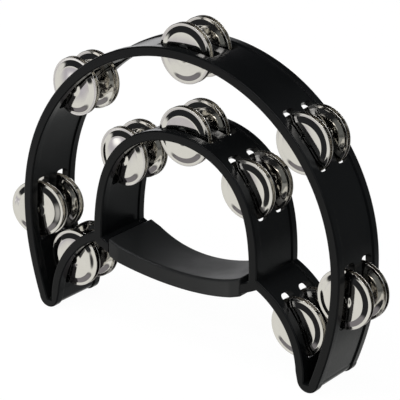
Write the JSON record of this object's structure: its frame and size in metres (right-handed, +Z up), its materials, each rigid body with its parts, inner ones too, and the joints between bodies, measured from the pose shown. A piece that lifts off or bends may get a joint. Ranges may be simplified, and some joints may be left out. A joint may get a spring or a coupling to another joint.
{
  "type": "cutaway tambourine",
  "caption": "Hand tambourine with two nested arches, paired jingles on cross pins, and a bowed soft-grip handle; stands on two rounded tips.",
  "frame": {"origin": "on the surface that the tips stand on, midway between them and midway through the depth", "axes": "+X from the left tip to the right tip as seen from the front, +Y towards the back, +Z up"},
  "size_m": [0.3069, 0.05, 0.2344],
  "materials": {
    "frame_plastic": "gloss black moulded plastic",
    "grip_rubber": "satin soft-touch black",
    "jingle_nickel": "polished nickel plate",
    "pin_steel": "plain drawn steel"
  },
  "bodies": {
    "body": {"frame": "frame_plastic", "handle_grip": "grip_rubber", "pin_outer_1": "pin_steel", "pin_outer_2": "pin_steel", "pin_outer_3": "pin_steel", "pin_outer_4": "pin_steel", "pin_outer_5": "pin_steel", "pin_inner_1": "pin_steel", "pin_inner_2": "pin_steel", "pin_inner_3": "pin_steel", "pin_leg_left": "pin_steel", "pin_leg_right": "pin_steel"},
    "jingle_outer_1_front_a": {"jingle_outer_1_front_a": "jingle_nickel"},
    "jingle_outer_1_front_b": {"jingle_outer_1_front_b": "jingle_nickel"},
    "jingle_outer_1_back_a": {"jingle_outer_1_back_a": "jingle_nickel"},
    "jingle_outer_1_back_b": {"jingle_outer_1_back_b": "jingle_nickel"},
    "jingle_outer_2_front_a": {"jingle_outer_2_front_a": "jingle_nickel"},
    "jingle_outer_2_front_b": {"jingle_outer_2_front_b": "jingle_nickel"},
    "jingle_outer_2_back_a": {"jingle_outer_2_back_a": "jingle_nickel"},
    "jingle_outer_2_back_b": {"jingle_outer_2_back_b": "jingle_nickel"},
    "jingle_outer_3_front_a": {"jingle_outer_3_front_a": "jingle_nickel"},
    "jingle_outer_3_front_b": {"jingle_outer_3_front_b": "jingle_nickel"},
    "jingle_outer_3_back_a": {"jingle_outer_3_back_a": "jingle_nickel"},
    "jingle_outer_3_back_b": {"jingle_outer_3_back_b": "jingle_nickel"},
    "jingle_outer_4_front_a": {"jingle_outer_4_front_a": "jingle_nickel"},
    "jingle_outer_4_front_b": {"jingle_outer_4_front_b": "jingle_nickel"},
    "jingle_outer_4_back_a": {"jingle_outer_4_back_a": "jingle_nickel"},
    "jingle_outer_4_back_b": {"jingle_outer_4_back_b": "jingle_nickel"},
    "jingle_outer_5_front_a": {"jingle_outer_5_front_a": "jingle_nickel"},
    "jingle_outer_5_front_b": {"jingle_outer_5_front_b": "jingle_nickel"},
    "jingle_outer_5_back_a": {"jingle_outer_5_back_a": "jingle_nickel"},
    "jingle_outer_5_back_b": {"jingle_outer_5_back_b": "jingle_nickel"},
    "jingle_inner_1_front_a": {"jingle_inner_1_front_a": "jingle_nickel"},
    "jingle_inner_1_front_b": {"jingle_inner_1_front_b": "jingle_nickel"},
    "jingle_inner_1_back_a": {"jingle_inner_1_back_a": "jingle_nickel"},
    "jingle_inner_1_back_b": {"jingle_inner_1_back_b": "jingle_nickel"},
    "jingle_inner_2_front_a": {"jingle_inner_2_front_a": "jingle_nickel"},
    "jingle_inner_2_front_b": {"jingle_inner_2_front_b": "jingle_nickel"},
    "jingle_inner_2_back_a": {"jingle_inner_2_back_a": "jingle_nickel"},
    "jingle_inner_2_back_b": {"jingle_inner_2_back_b": "jingle_nickel"},
    "jingle_inner_3_front_a": {"jingle_inner_3_front_a": "jingle_nickel"},
    "jingle_inner_3_front_b": {"jingle_inner_3_front_b": "jingle_nickel"},
    "jingle_inner_3_back_a": {"jingle_inner_3_back_a": "jingle_nickel"},
    "jingle_inner_3_back_b": {"jingle_inner_3_back_b": "jingle_nickel"},
    "jingle_leg_left_front_a": {"jingle_leg_left_front_a": "jingle_nickel"},
    "jingle_leg_left_front_b": {"jingle_leg_left_front_b": "jingle_nickel"},
    "jingle_leg_left_back_a": {"jingle_leg_left_back_a": "jingle_nickel"},
    "jingle_leg_left_back_b": {"jingle_leg_left_back_b": "jingle_nickel"},
    "jingle_leg_right_front_a": {"jingle_leg_right_front_a": "jingle_nickel"},
    "jingle_leg_right_front_b": {"jingle_leg_right_front_b": "jingle_nickel"},
    "jingle_leg_right_back_a": {"jingle_leg_right_back_a": "jingle_nickel"},
    "jingle_leg_right_back_b": {"jingle_leg_right_back_b": "jingle_nickel"}
  },
  "joints": [
    {"name": "jingle_outer_1_front_a_slide", "type": "slide", "parent": "body", "child": "jingle_outer_1_front_a", "axis": [0, 1, 0], "range_m": [0, 0.0015]},
    {"name": "jingle_outer_1_front_b_slide", "type": "slide", "parent": "body", "child": "jingle_outer_1_front_b", "axis": [0, 1, 0], "range_m": [-0.0015, 0.0022]},
    {"name": "jingle_outer_1_back_a_slide", "type": "slide", "parent": "body", "child": "jingle_outer_1_back_a", "axis": [0, 1, 0], "range_m": [0, 0.0015]},
    {"name": "jingle_outer_1_back_b_slide", "type": "slide", "parent": "body", "child": "jingle_outer_1_back_b", "axis": [0, 1, 0], "range_m": [-0.0015, 0.0028]},
    {"name": "jingle_outer_2_front_a_slide", "type": "slide", "parent": "body", "child": "jingle_outer_2_front_a", "axis": [0, 1, 0], "range_m": [0, 0.0015]},
    {"name": "jingle_outer_2_front_b_slide", "type": "slide", "parent": "body", "child": "jingle_outer_2_front_b", "axis": [0, 1, 0], "range_m": [-0.0015, 0.003]},
    {"name": "jingle_outer_2_back_a_slide", "type": "slide", "parent": "body", "child": "jingle_outer_2_back_a", "axis": [0, 1, 0], "range_m": [0, 0.0015]},
    {"name": "jingle_outer_2_back_b_slide", "type": "slide", "parent": "body", "child": "jingle_outer_2_back_b", "axis": [0, 1, 0], "range_m": [-0.0015, 0.0035]},
    {"name": "jingle_outer_3_front_a_slide", "type": "slide", "parent": "body", "child": "jingle_outer_3_front_a", "axis": [0, 1, 0], "range_m": [0, 0.0015]},
    {"name": "jingle_outer_3_front_b_slide", "type": "slide", "parent": "body", "child": "jingle_outer_3_front_b", "axis": [0, 1, 0], "range_m": [-0.0015, 0.0035]},
    {"name": "jingle_outer_3_back_a_slide", "type": "slide", "parent": "body", "child": "jingle_outer_3_back_a", "axis": [0, 1, 0], "range_m": [0, 0.0015]},
    {"name": "jingle_outer_3_back_b_slide", "type": "slide", "parent": "body", "child": "jingle_outer_3_back_b", "axis": [0, 1, 0], "range_m": [-0.0015, 0.0035]},
    {"name": "jingle_outer_4_front_a_slide", "type": "slide", "parent": "body", "child": "jingle_outer_4_front_a", "axis": [0, 1, 0], "range_m": [0, 0.0015]},
    {"name": "jingle_outer_4_front_b_slide", "type": "slide", "parent": "body", "child": "jingle_outer_4_front_b", "axis": [0, 1, 0], "range_m": [-0.0015, 0.0035]},
    {"name": "jingle_outer_4_back_a_slide", "type": "slide", "parent": "body", "child": "jingle_outer_4_back_a", "axis": [0, 1, 0], "range_m": [0, 0.0015]},
    {"name": "jingle_outer_4_back_b_slide", "type": "slide", "parent": "body", "child": "jingle_outer_4_back_b", "axis": [0, 1, 0], "range_m": [-0.0015, 0.0035]},
    {"name": "jingle_outer_5_front_a_slide", "type": "slide", "parent": "body", "child": "jingle_outer_5_front_a", "axis": [0, 1, 0], "range_m": [-0.002, 0.0015]},
    {"name": "jingle_outer_5_front_b_slide", "type": "slide", "parent": "body", "child": "jingle_outer_5_front_b", "axis": [0, 1, 0], "range_m": [-0.0015, 0.0015]},
    {"name": "jingle_outer_5_back_a_slide", "type": "slide", "parent": "body", "child": "jingle_outer_5_back_a", "axis": [0, 1, 0], "range_m": [0, 0.0015]},
    {"name": "jingle_outer_5_back_b_slide", "type": "slide", "parent": "body", "child": "jingle_outer_5_back_b", "axis": [0, 1, 0], "range_m": [-0.0015, 0.0035]},
    {"name": "jingle_inner_1_front_a_slide", "type": "slide", "parent": "body", "child": "jingle_inner_1_front_a", "axis": [0, 1, 0], "range_m": [0, 0.0015]},
    {"name": "jingle_inner_1_front_b_slide", "type": "slide", "parent": "body", "child": "jingle_inner_1_front_b", "axis": [0, 1, 0], "range_m": [-0.0015, 0.003]},
    {"name": "jingle_inner_1_back_a_slide", "type": "slide", "parent": "body", "child": "jingle_inner_1_back_a", "axis": [0, 1, 0], "range_m": [0, 0.0015]},
    {"name": "jingle_inner_1_back_b_slide", "type": "slide", "parent": "body", "child": "jingle_inner_1_back_b", "axis": [0, 1, 0], "range_m": [-0.0015, 0.0035]},
    {"name": "jingle_inner_2_front_a_slide", "type": "slide", "parent": "body", "child": "jingle_inner_2_front_a", "axis": [0, 1, 0], "range_m": [0, 0.0015]},
    {"name": "jingle_inner_2_front_b_slide", "type": "slide", "parent": "body", "child": "jingle_inner_2_front_b", "axis": [0, 1, 0], "range_m": [-0.0015, 0.0035]},
    {"name": "jingle_inner_2_back_a_slide", "type": "slide", "parent": "body", "child": "jingle_inner_2_back_a", "axis": [0, 1, 0], "range_m": [0, 0.0015]},
    {"name": "jingle_inner_2_back_b_slide", "type": "slide", "parent": "body", "child": "jingle_inner_2_back_b", "axis": [0, 1, 0], "range_m": [-0.0015, 0.0035]},
    {"name": "jingle_inner_3_front_a_slide", "type": "slide", "parent": "body", "child": "jingle_inner_3_front_a", "axis": [0, 1, 0], "range_m": [0, 0.0015]},
    {"name": "jingle_inner_3_front_b_slide", "type": "slide", "parent": "body", "child": "jingle_inner_3_front_b", "axis": [0, 1, 0], "range_m": [-0.0015, 0.0035]},
    {"name": "jingle_inner_3_back_a_slide", "type": "slide", "parent": "body", "child": "jingle_inner_3_back_a", "axis": [0, 1, 0], "range_m": [0, 0.0015]},
    {"name": "jingle_inner_3_back_b_slide", "type": "slide", "parent": "body", "child": "jingle_inner_3_back_b", "axis": [0, 1, 0], "range_m": [-0.0015, 0.0035]},
    {"name": "jingle_leg_left_front_a_slide", "type": "slide", "parent": "body", "child": "jingle_leg_left_front_a", "axis": [0, 1, 0], "range_m": [0, 0.0015]},
    {"name": "jingle_leg_left_front_b_slide", "type": "slide", "parent": "body", "child": "jingle_leg_left_front_b", "axis": [0, 1, 0], "range_m": [-0.0015, 0.0035]},
    {"name": "jingle_leg_left_back_a_slide", "type": "slide", "parent": "body", "child": "jingle_leg_left_back_a", "axis": [0, 1, 0], "range_m": [0, 0.0015]},
    {"name": "jingle_leg_left_back_b_slide", "type": "slide", "parent": "body", "child": "jingle_leg_left_back_b", "axis": [0, 1, 0], "range_m": [-0.0015, 0.0035]},
    {"name": "jingle_leg_right_front_a_slide", "type": "slide", "parent": "body", "child": "jingle_leg_right_front_a", "axis": [0, 1, 0], "range_m": [0, 0.0015]},
    {"name": "jingle_leg_right_front_b_slide", "type": "slide", "parent": "body", "child": "jingle_leg_right_front_b", "axis": [0, 1, 0], "range_m": [-0.0015, 0.0035]},
    {"name": "jingle_leg_right_back_a_slide", "type": "slide", "parent": "body", "child": "jingle_leg_right_back_a", "axis": [0, 1, 0], "range_m": [0, 0.0015]},
    {"name": "jingle_leg_right_back_b_slide", "type": "slide", "parent": "body", "child": "jingle_leg_right_back_b", "axis": [0, 1, 0], "range_m": [-0.0015, 0.0035]}
  ]
}
